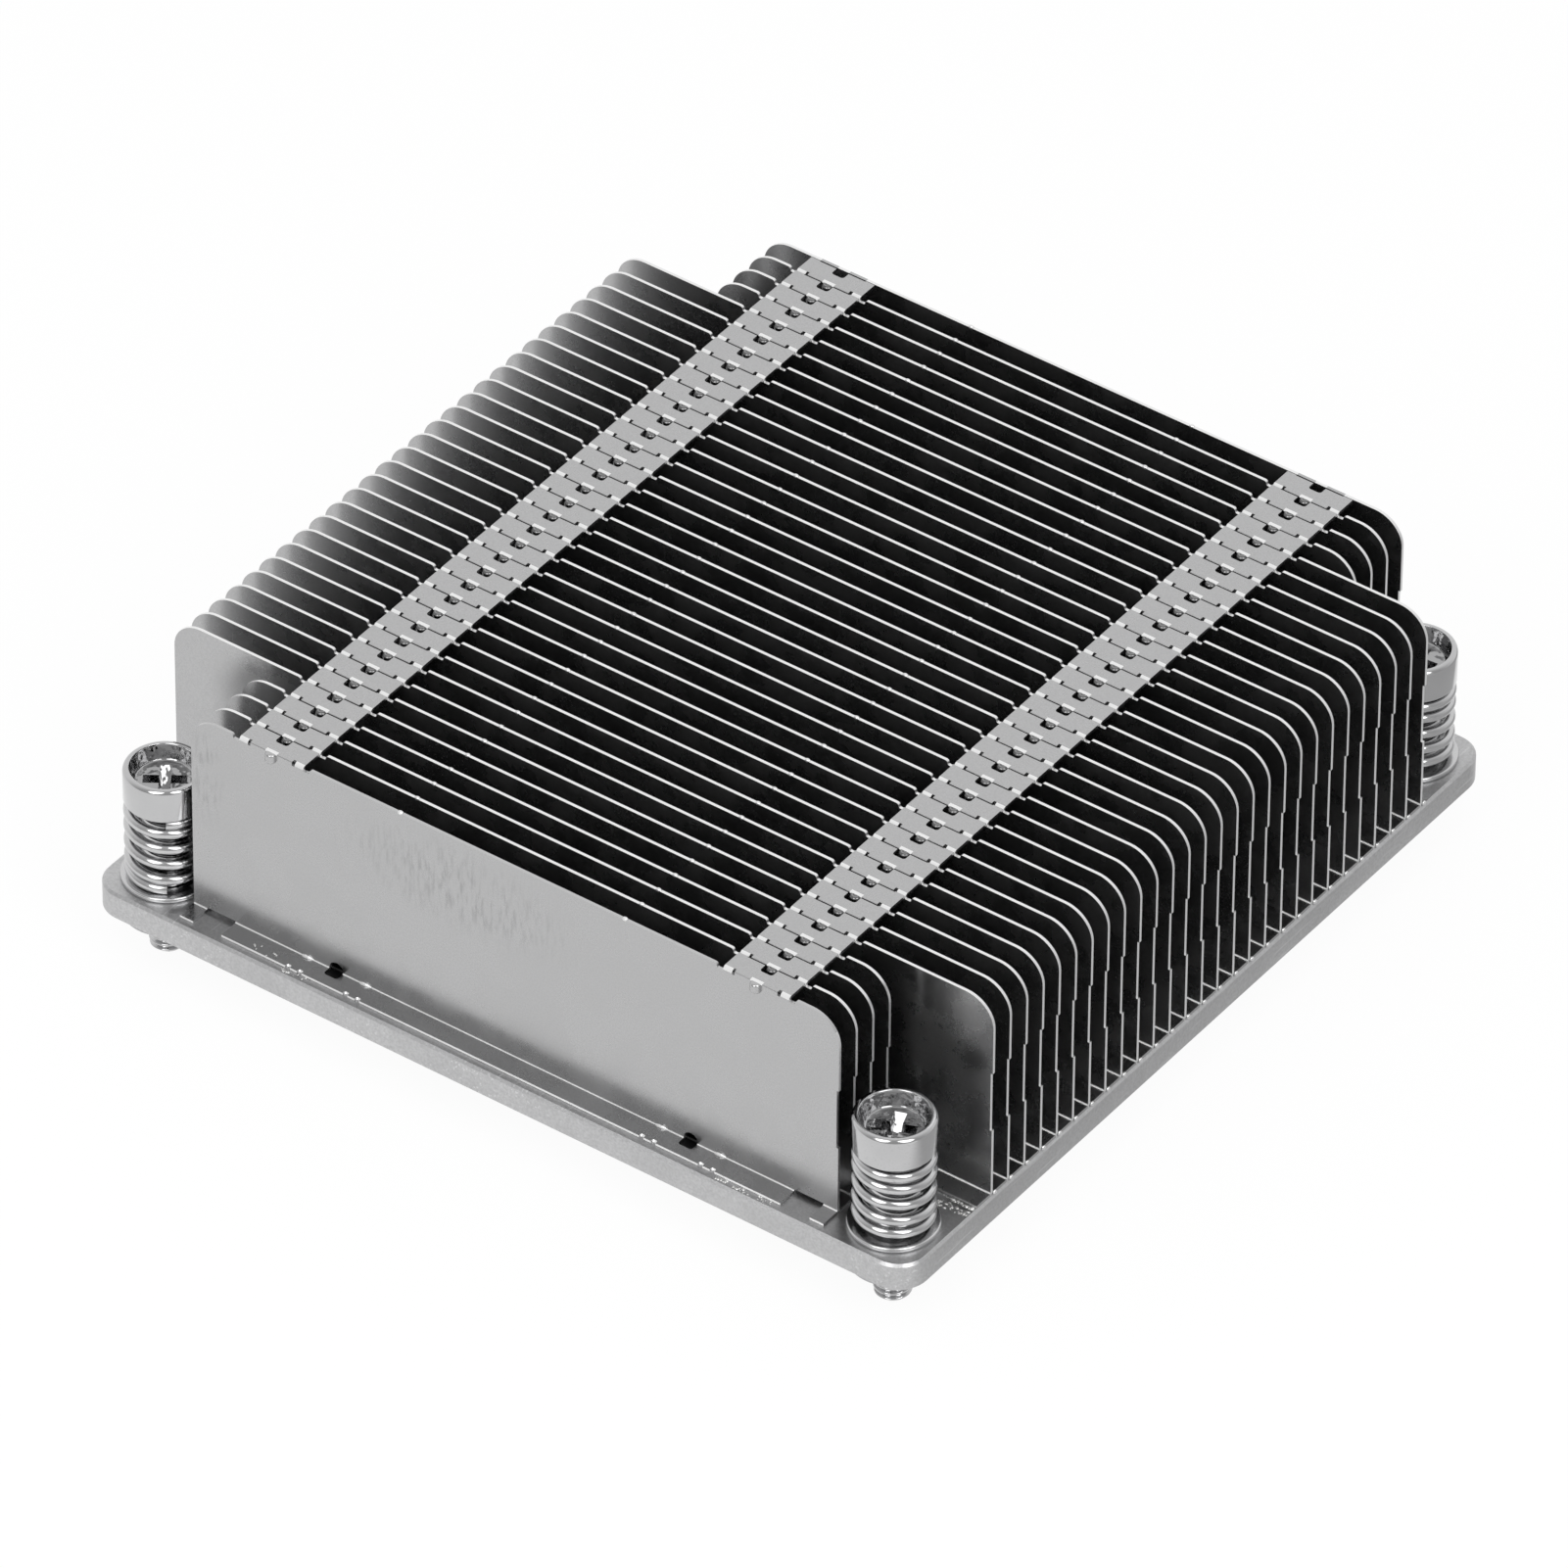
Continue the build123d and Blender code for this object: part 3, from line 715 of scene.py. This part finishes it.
ORIGIN = (0.0, 0.0, 0.0)
GROUPS = {
    "Metal Grain": ("ShaderNodeTree", fill_grain, {"Grain Size": 0.0001, "Stretch": (1.0, 1.0, 1.0)}),
    "Fine Scuffs": ("ShaderNodeTree", fill_scuffs, {"Line Width": 0.0001, "Amount": 0.3}),
    "Rubbed Patch": ("ShaderNodeTree", fill_smudge, {"Centre": ORIGIN, "Reach": (1.0, 1.0, 1.0)}),
    "Coil Spring": ("GeometryNodeTree", fill_spring, {
        "Centre": ORIGIN, "Bottom": 0.0, "Top": 0.01, "Coil Radius": 0.003, "Wire Radius": 0.0005,
        "Closed Pitch": 0.001, "Active Turns": 3.0, "Start Turn": 0.0, "Material": None,
    }),
    "Screw Thread": ("GeometryNodeTree", fill_thread, {
        "Centre": ORIGIN, "Tip": 0.0, "Top": 0.01, "Outer Radius": 0.002, "Depth": 0.0003,
        "Pitch": 0.0006, "Lead In": 0.0005, "Material": None,
    }),
    "Break-off Nibs": ("GeometryNodeTree", fill_nibs, {
        "Count": 36, "Start": ORIGIN, "Step": (0.0, 0.002, 0.0), "Offset": 0.01, "Radius": 0.0002,
        "Flatness": (1.0, 0.7, 0.65), "Material": None,
    }),
    "Solder Specks": ("GeometryNodeTree", fill_specks, {
        "Centre": ORIGIN, "Width": 0.01, "Depth": 0.01, "Density": 1e6, "Radius": 0.0001, "Seed": 1,
        "Material": None,
    }),
}


def round_corners(corners, steps=5):
    """Points of a half section; each corner is (radius from the axis, height, corner radius)."""
    points = []
    for index, (across, height, radius) in enumerate(corners):
        here = Vector((across, height))
        if radius == 0.0:
            points.append(here)
            continue
        before = (Vector(corners[index - 1][:2]) - here).normalized()
        after = (Vector(corners[(index + 1) % len(corners)][:2]) - here).normalized()
        half_angle = before.angle(after) / 2
        middle = here + (before + after).normalized() * radius / math.sin(half_angle)
        start = here + before * radius / math.tan(half_angle) - middle
        sweep = start.angle_signed(here + after * radius / math.tan(half_angle) - middle)
        for step in range(steps + 1):
            turned = Matrix.Rotation(-sweep * step / steps, 2) @ start
            points.append(middle + turned)
    return points


def bridge(shape, upper, lower):
    """Faces between two loops of points: triangles where a loop is one point over and over."""
    for step, point in enumerate(upper):
        following = (step + 1) % len(upper)
        shape.faces.new(dict.fromkeys((point, lower[step], lower[following], upper[following])))


def turn_profile(points, centre, closed=False, segments=96):
    """Revolve a half section about an upright line. An open section starts and ends on the line."""
    shape = bmesh.new()
    rings = []
    for point in points:
        if point.x < 1e-7:
            rings.append([shape.verts.new((centre.x, centre.y, point.y))] * segments)
            continue
        angles = [2 * math.pi * step / segments for step in range(segments)]
        rings.append([
            shape.verts.new((centre.x + point.x * math.cos(a), centre.y + point.x * math.sin(a), point.y))
            for a in angles
        ])
    for upper, lower in zip(rings, rings[1:]):
        bridge(shape, upper, lower)
    if closed:
        bridge(shape, rings[-1], rings[0])
    return shape


def keep_corners_crisp(mesh):
    """Smooth faces, apart from the crisp corners."""
    mesh.shade_smooth()
    mesh.set_sharp_from_angle(angle=CRISP_ANGLE)


def finish_mesh(shape, name):
    """Turn a bmesh into a mesh with outward faces and crisp corners."""
    bmesh.ops.recalc_face_normals(shape, faces=shape.faces)
    mesh = bpy.data.meshes.new(name)
    shape.to_mesh(mesh)
    shape.free()
    keep_corners_crisp(mesh)
    return mesh


def cross_cutter(centre, floor, look, turn):
    """Tapered cross that leaves the driver recess when it is taken from the screw."""
    above = 0.2 * MM
    shape = bmesh.new()
    loops = []
    levels = ((floor + above, 1.0 + above / look.cross_depth), (floor - look.cross_depth, 0.38))
    for height, grow_by in levels:
        reach = look.cross_span / 2 * grow_by
        half = look.cross_width / 2 * (0.55 + 0.45 * grow_by)
        loop = []
        for quarter in range(4):
            angle = turn + quarter * math.pi / 2
            for along, side in ((half, -half), (reach, -half), (reach, half)):
                x = along * math.cos(angle) - side * math.sin(angle)
                y = along * math.sin(angle) + side * math.cos(angle)
                loop.append(shape.verts.new((centre.x + x, centre.y + y, height)))
        loops.append(loop)
    bridge(shape, *loops)
    for loop in loops:
        shape.faces.new(loop)
    return shape


def cut_away(piece, cutter):
    """Take the cutter's solid from the piece's mesh, and remove the cutter."""
    modifier = piece.modifiers.new("cut", "BOOLEAN")
    modifier.operation = "DIFFERENCE"
    modifier.solver = "EXACT"
    modifier.object = cutter
    apply_modifiers(piece)
    bpy.data.objects.remove(cutter)


def join_mesh(piece, other):
    """Add the mesh of another piece to a piece, and remove the other one."""
    shape = bmesh.new()
    shape.from_mesh(piece.data)
    shape.from_mesh(other.data)
    bpy.data.objects.remove(other)
    shape.to_mesh(piece.data)
    shape.free()


def node_axis(node):
    """The upright line through the middle of a node."""
    low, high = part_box(node)
    return Vector(((low[0] + high[0]) / 2, (low[1] + high[1]) / 2, 0.0))


def screw_section(look, corner):
    """Half section of a screw without its thread, from the cup's floor to the end of the shoulder."""
    low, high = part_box("screw_" + corner)
    clip_low, clip_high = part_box("clip_" + corner)
    head = (high[0] - low[0]) / 2
    top = high[2]
    floor = top - look.cup_depth
    mouth = head - look.cup_wall
    play = 0.04 * MM
    return round_corners([
        (0.0, floor, 0.0),
        (mouth - look.cup_taper, floor, 0.25 * MM),
        (mouth, top, 0.12 * MM),
        (head, top, 0.45 * MM),
        (head, top - look.head_height, 0.18 * MM),
        (look.shoulder_radius, top - look.head_height, 0.0),
        (look.shoulder_radius, clip_high[2] + play, 0.0),
        (look.groove_radius, clip_high[2] + play, 0.0),
        (look.groove_radius, clip_low[2] - play, 0.0),
        (look.shoulder_radius, clip_low[2] - play, 0.0),
        (look.shoulder_radius, -look.shoulder_drop, 0.12 * MM),
        (0.0, -look.shoulder_drop, 0.0),
    ])


class HEATSINK_OT_base(bpy.types.Operator):
    """Dress the base plate and scatter the solder specks that the fins left on it"""
    bl_idname = "heatsink.base"
    bl_label = "Base Plate"

    def execute(self, context):
        look = context.scene.heatsink.base
        dress("base_plate", base_material(look))
        solder = bright_material("solder", look.solder_colour, 0.2, 0.1 * MM, 0.4)
        top = plate_top()
        sole_top = top + context.scene.heatsink.sheet.thickness
        patches = {
            "solder_by_front_screw": ((42.0, -35.4, top), (5.2, 0.9), 16e6, 1.0, 3),
            "solder_bead_by_front_screw": ((43.5, -34.7, sole_top), (2.1, 0.08), 300e6, 1.7, 4),
            "solder_line_by_front_screw": ((42.0, -34.7, sole_top), (2.2, 0.05), 160e6, 0.6, 9),
            "solder_at_front_right": ((26.5, -44.35, top), (7.0, 0.5), 8e6, 1.0, 5),
            "solder_at_front_left": ((-22.3, -44.3, top), (3.0, 0.45), 9e6, 1.0, 8),
            "solder_on_first_sole": ((-26.3, -43.6, sole_top), (3.5, 1.0), 2e6, 0.8, 2),
            "solder_between_fins": ((32.5, 28.6, top), (0.9, 0.5), 12e6, 1.6, 6),
        }
        for name, (centre, size, density, scale, seed) in patches.items():
            specks = grow(name, "Solder Specks", {
                "Centre": (centre[0] * MM, centre[1] * MM, centre[2]),
                "Width": size[0] * MM,
                "Depth": size[1] * MM,
                "Density": density,
                "Radius": look.speck_radius * scale,
                "Seed": seed,
                "Material": solder,
            })
            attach(specks, "heatsink")
        return {"FINISHED"}


class HEATSINK_OT_fins(bpy.types.Operator):
    """Dress the fins in rolled sheet and set the break-off nibs on their top edges"""
    bl_idname = "heatsink.fins"
    bl_label = "Fins"

    def execute(self, context):
        look = context.scene.heatsink.sheet
        sheet = fin_material(look)
        for name in FIN_NODES:
            dress(name, sheet)
        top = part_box(FIN_NODES[0])[1][2]
        first_front = first_fin_front(look)
        nibs = grow("fin_nibs", "Break-off Nibs", {
            "Count": len(FIN_NODES),
            "Start": (0.0, first_front + look.thickness / 2, top - 0.02 * MM),
            "Step": (0.0, fin_pitch(), 0.0),
            "Offset": look.nib_offset,
            "Radius": look.nib_radius,
            "Material": bright_material("nib_metal", look.edge_and_highlight_colour, 0.3, 0.1 * MM, 0.1),
        })
        low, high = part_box(FIN_NODES[look.narrow_fins])
        foot_y = first_front + look.narrow_fins * fin_pitch() + look.thickness + 1.3 * look.foot_radius
        feet = grow("solder_feet", "Break-off Nibs", {
            "Count": len(FIN_NODES) - 2 * look.narrow_fins,
            "Start": ((low[0] + high[0]) / 2, foot_y, plate_top() + look.thickness / 2),
            "Step": (0.0, fin_pitch(), 0.0),
            "Offset": (high[0] - low[0]) / 2,
            "Radius": look.foot_radius,
            "Flatness": (1.0, 1.3, 1.2),
            "Material": bright_material("foot_solder", look.edge_and_highlight_colour, 0.2, 0.1 * MM, 0.3),
        })
        for piece in (nibs, feet):
            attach(piece, "heatsink")
        return {"FINISHED"}


class HEATSINK_OT_screws(bpy.types.Operator):
    """Turn the four cup-headed screws, with their driver recess and thread"""
    bl_idname = "heatsink.screws"
    bl_label = "Spring Screws"

    def execute(self, context):
        look = context.scene.heatsink.screw
        plating = bright_material("screw_plating", look.colour, look.roughness, 0.12 * MM, 0.08, look)
        for corner, turn in zip(CORNERS, CROSS_TURNS):
            name = "screw_" + corner
            axis = node_axis(name)
            low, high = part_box(name)
            body = finish_mesh(turn_profile(screw_section(look, corner), axis), name + "_turned")
            screw = new_piece(name + "_turned", body, plating)
            floor = high[2] - look.cup_depth
            recess = finish_mesh(cross_cutter(axis, floor, look, math.radians(turn)), "cross")
            cut_away(screw, new_piece("cross", recess))
            keep_corners_crisp(screw.data)
            thread = grow("thread", "Screw Thread", {
                "Centre": axis,
                "Tip": low[2],
                "Top": 0.2 * MM - look.shoulder_drop,
                "Outer Radius": look.thread_radius,
                "Depth": look.thread_depth,
                "Pitch": look.thread_pitch,
                "Lead In": 0.5 * MM,
                "Material": plating,
            })
            join_mesh(screw, thread)
            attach(screw, name)
            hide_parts(name)
        return {"FINISHED"}


class HEATSINK_OT_springs(bpy.types.Operator):
    """Wind the four springs"""
    bl_idname = "heatsink.springs"
    bl_label = "Springs"

    def execute(self, context):
        look = context.scene.heatsink.spring
        wire = bright_material("spring_wire", look.colour, look.roughness, 0.15 * MM, 0.12)
        for corner, turn in zip(CORNERS, COIL_STARTS):
            node = "spring_" + corner
            low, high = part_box(node)
            spring = grow(node + "_wound", "Coil Spring", {
                "Centre": node_axis(node),
                "Bottom": low[2] + look.wire / 2,
                "Top": high[2] - look.wire / 2,
                "Coil Radius": (high[0] - low[0] - look.wire) / 2,
                "Wire Radius": look.wire / 2,
                "Closed Pitch": look.closed_pitch,
                "Active Turns": float(look.active_turns),
                "Start Turn": turn / 360.0,
                "Material": wire,
            })
            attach(spring, "heatsink")
            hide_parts(node)
            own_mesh(spring)
        return {"FINISHED"}


class HEATSINK_OT_washers(bpy.types.Operator):
    """Turn the washers under the springs and dress the retaining clips"""
    bl_idname = "heatsink.washers"
    bl_label = "Washers and Clips"

    def execute(self, context):
        look = context.scene.heatsink.screw
        steel = bright_material("washer_steel", WASHER_STEEL, 0.16, 0.15 * MM, 0.1)
        clip_steel = bright_material("clip_steel", CLIP_STEEL, 0.3, 0.2 * MM, 0.2)
        play = 0.15 * MM
        for corner in CORNERS:
            node = "washer_" + corner
            low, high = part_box(node)
            outer = (high[0] - low[0]) / 2
            bore = look.shoulder_radius + play
            rounding = (high[2] - low[2]) * 0.35
            section = round_corners([
                (bore, low[2], 0.0),
                (outer, low[2], rounding),
                (outer, high[2], rounding),
                (bore, high[2], 0.0),
            ])
            mesh = finish_mesh(turn_profile(section, node_axis(node), closed=True), node + "_turned")
            washer = new_piece(node + "_turned", mesh, steel)
            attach(washer, "heatsink")
            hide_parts(node)
            dress("clip_" + corner, clip_steel)
        return {"FINISHED"}


def floor_material(look):
    """Pale floor that takes the object's shadow and looks white to the camera; reflections see it white apart
    from a painted shadow to the right of the object.
    """
    made = bpy.data.materials.new("pale_floor")
    graph = empty_graph(made)
    matt = graph.node("ShaderNodeBsdfDiffuse", {"Color": opaque(look.floor_colour)})
    rays = graph.node("ShaderNodeLightPath").outputs
    place = graph.separate(graph.position())
    edge = cad_box[1][0]
    beside = graph.remap(place[0], edge, edge + 5 * MM)
    beside = graph.product(beside, graph.remap(place[1], -edge - 6 * MM, -edge + 16 * MM))
    # Painted shadow seen only by reflections, to the right of the object
    painted_shadow = graph.product(beside, graph.inverse(rays["Is Camera Ray"]), look.right_painted_shadow)
    white = graph.node("ShaderNodeEmission", {"Color": grey(1.0), "Strength": graph.inverse(painted_shadow)})
    seen = graph.most(rays["Is Camera Ray"], rays["Is Glossy Ray"], rays["Is Transmission Ray"])
    blend = graph.node("ShaderNodeMixShader", {0: graph.product(seen, look.floor_glow), 1: matt, 2: white})
    graph.node("ShaderNodeOutputMaterial", {"Surface": blend})
    return made


def studio_world():
    """White to the camera, a soft room brighter behind the object to reflections, and grey to the rest."""
    world = bpy.data.worlds.new("studio")
    graph = empty_graph(world)
    rays = graph.node("ShaderNodeLightPath").outputs
    direction = graph.node("ShaderNodeTexCoord").outputs["Generated"]
    behind = Vector((-0.58, 0.81, 0.0))
    facing = graph.node("ShaderNodeVectorMath", {0: direction, 1: behind}, operation="DOT_PRODUCT")
    room = graph.mix(graph.remap(facing.outputs["Value"], -0.5, 0.6), grey(0.48), grey(0.97))
    plain, soft, white = (
        graph.node("ShaderNodeBackground", {"Color": colour}) for colour in (grey(0.8), room, grey(1.0))
    )
    for_metal = graph.node("ShaderNodeMixShader", {0: rays["Is Glossy Ray"], 1: plain, 2: soft})
    clear = graph.most(rays["Is Camera Ray"], rays["Is Transmission Ray"])
    for_all = graph.node("ShaderNodeMixShader", {0: clear, 1: for_metal, 2: white})
    graph.node("ShaderNodeOutputWorld", {"Surface": for_all})
    return world


def look_direction(azimuth, elevation):
    """Unit vector from the object towards a compass angle, 0 being -Y and 90 being +X."""
    a = math.radians(azimuth)
    e = math.radians(elevation)
    return Vector((math.sin(a) * math.cos(e), -math.cos(a) * math.cos(e), math.sin(e)))


class HEATSINK_OT_stage(bpy.types.Operator):
    """Lay the floor, hang the soft boxes and set up the camera"""
    bl_idname = "heatsink.stage"
    bl_label = "Stage"

    def execute(self, context):
        look = context.scene.heatsink.stage
        scene = context.scene
        self.lay_floor(look)
        scene.world = studio_world()
        self.hang_lamps(look)
        self.set_camera(look, scene)
        scene.view_settings.view_transform = "Standard"
        return {"FINISHED"}

    def lay_floor(self, look):
        shape = bmesh.new()
        bmesh.ops.create_grid(shape, x_segments=1, y_segments=1, size=look.floor_size / 2)
        bmesh.ops.translate(shape, verts=shape.verts, vec=(0.0, 0.0, cad_box[0][2]))
        mesh = bpy.data.meshes.new("floor")
        shape.to_mesh(mesh)
        shape.free()
        new_piece("floor", mesh, floor_material(look))

    def hang_lamps(self, look):
        for name, side in (("soft_box_left", -1), ("soft_box_right", 1)):
            lamp = bpy.data.lights.new(name, "AREA")
            lamp.shape = "ELLIPSE"
            lamp.size = look.lamp_width
            lamp.size_y = look.lamp_height
            lamp.energy = look.lamp_power
            hung = bpy.data.objects.new(name, lamp)
            back = look_direction(look.camera_azimuth + side * look.lamp_spread, look.lamp_elevation)
            hung.location = back * look.lamp_distance
            hung.rotation_euler = (-back).to_track_quat("-Z", "Y").to_euler()
            bpy.context.scene.collection.objects.link(hung)

    def set_camera(self, look, scene):
        camera = bpy.data.cameras.new("camera")
        camera.sensor_width = 36.0
        camera.lens = look.camera_lens
        camera.clip_start = 0.1
        camera.clip_end = 10.0
        placed = bpy.data.objects.new("camera", camera)
        back = look_direction(look.camera_azimuth, look.camera_elevation)
        right = Vector((0.0, 0.0, 1.0)).cross(back).normalized()
        level = Matrix((right, back.cross(right), back)).transposed()
        turned = level @ Matrix.Rotation(math.radians(look.camera_roll), 3, "Z")
        place = Vector(look.camera_target) + back * look.camera_distance
        placed.matrix_world = Matrix.Translation(place) @ turned.to_4x4()
        scene.collection.objects.link(placed)
        scene.camera = placed


class HEATSINK_PT_panel(bpy.types.Panel):
    bl_idname = "HEATSINK_PT_panel"
    bl_label = "Heatsink"
    bl_space_type = "VIEW_3D"
    bl_region_type = "UI"
    bl_category = "Heatsink"

    def draw(self, context):
        for operator in OPERATORS:
            self.layout.operator(operator.bl_idname)


OPERATORS = (
    HEATSINK_OT_base,
    HEATSINK_OT_fins,
    HEATSINK_OT_screws,
    HEATSINK_OT_springs,
    HEATSINK_OT_washers,
    HEATSINK_OT_stage,
)
CLASSES = (
    HEATSINK_PG_sheet,
    HEATSINK_PG_base,
    HEATSINK_PG_screw,
    HEATSINK_PG_spring,
    HEATSINK_PG_stage,
    HEATSINK_PG_settings,
    *OPERATORS,
    HEATSINK_PT_panel,
)


def register():
    for item in CLASSES:
        bpy.utils.register_class(item)
    bpy.types.Scene.heatsink = PointerProperty(type=HEATSINK_PG_settings)


def unregister():
    del bpy.types.Scene.heatsink
    for item in reversed(CLASSES):
        bpy.utils.unregister_class(item)


def main():
    """Dress the whole heatsink."""
    register()
    bpy.ops.heatsink.base()
    bpy.ops.heatsink.fins()
    bpy.ops.heatsink.screws()
    bpy.ops.heatsink.springs()
    bpy.ops.heatsink.washers()
    bpy.ops.heatsink.stage()


if __name__ == "__main__":
    main()
